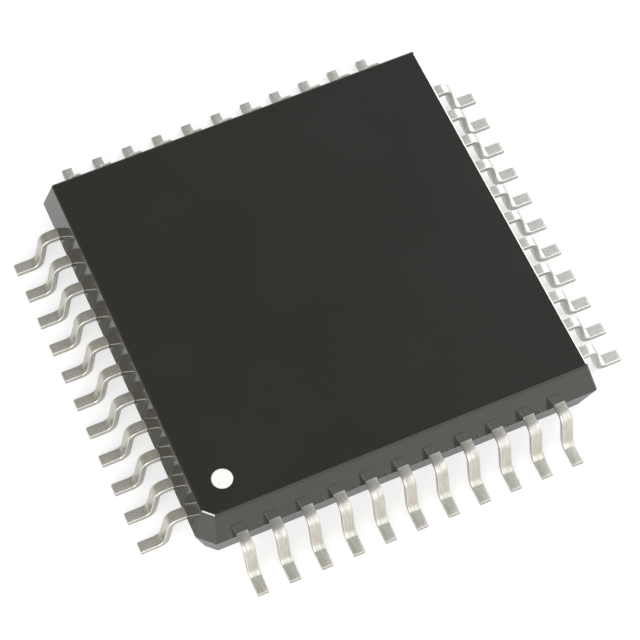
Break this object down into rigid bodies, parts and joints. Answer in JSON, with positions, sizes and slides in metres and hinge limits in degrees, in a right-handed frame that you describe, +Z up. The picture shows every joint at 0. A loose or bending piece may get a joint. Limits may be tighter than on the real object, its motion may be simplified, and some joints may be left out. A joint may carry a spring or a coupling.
{
  "type": "integrated circuit in a quad flat package",
  "caption": "Square black moulded chip package with gull-wing leads on all four sides, a round white pin 1 mark and a chamfered pin 1 corner.",
  "frame": {"origin": "the centre of the package on the plane that the lead feet stand on", "axes": "+Z is up, normal to the top face; -X and -Y point to the pin 1 corner; pins 1 to 11 are on the -Y side in the order of rising X, and the numbers run anticlockwise seen from above"},
  "size_m": [0.0124, 0.0124, 0.002],
  "materials": {
    "mould_compound": "dark charcoal filled epoxy, smooth from a polished mould",
    "tinned_lead": "matt tin plating with a fine grain, drawn along the lead at the bends",
    "bare_copper": "plain stamped copper alloy",
    "die_adhesive": "silver-filled adhesive",
    "silicon": "polished silicon",
    "gold_wire": "fine gold wire",
    "white_ink": "white marking ink"
  },
  "bodies": {
    "root": {"moulded_body": "mould_compound", "lead_01": "tinned_lead", "lead_02": "tinned_lead", "lead_03": "tinned_lead", "lead_04": "tinned_lead", "lead_05": "tinned_lead", "lead_06": "tinned_lead", "lead_07": "tinned_lead", "lead_08": "tinned_lead", "lead_09": "tinned_lead", "lead_10": "tinned_lead", "lead_11": "tinned_lead", "lead_12": "tinned_lead", "lead_13": "tinned_lead", "lead_14": "tinned_lead", "lead_15": "tinned_lead", "lead_16": "tinned_lead", "lead_17": "tinned_lead", "lead_18": "tinned_lead", "lead_19": "tinned_lead", "lead_20": "tinned_lead", "lead_21": "tinned_lead", "lead_22": "tinned_lead", "lead_23": "tinned_lead", "lead_24": "tinned_lead", "lead_25": "tinned_lead", "lead_26": "tinned_lead", "lead_27": "tinned_lead", "lead_28": "tinned_lead", "lead_29": "tinned_lead", "lead_30": "tinned_lead", "lead_31": "tinned_lead", "lead_32": "tinned_lead", "lead_33": "tinned_lead", "lead_34": "tinned_lead", "lead_35": "tinned_lead", "lead_36": "tinned_lead", "lead_37": "tinned_lead", "lead_38": "tinned_lead", "lead_39": "tinned_lead", "lead_40": "tinned_lead", "lead_41": "tinned_lead", "lead_42": "tinned_lead", "lead_43": "tinned_lead", "lead_44": "tinned_lead", "die_pad": "bare_copper", "die_attach": "die_adhesive", "silicon_die": "silicon", "bond_wires_01_11": "gold_wire", "bond_wires_12_22": "gold_wire", "bond_wires_23_33": "gold_wire", "bond_wires_34_44": "gold_wire", "pin_1_mark": "white_ink"}
  },
  "joints": []
}
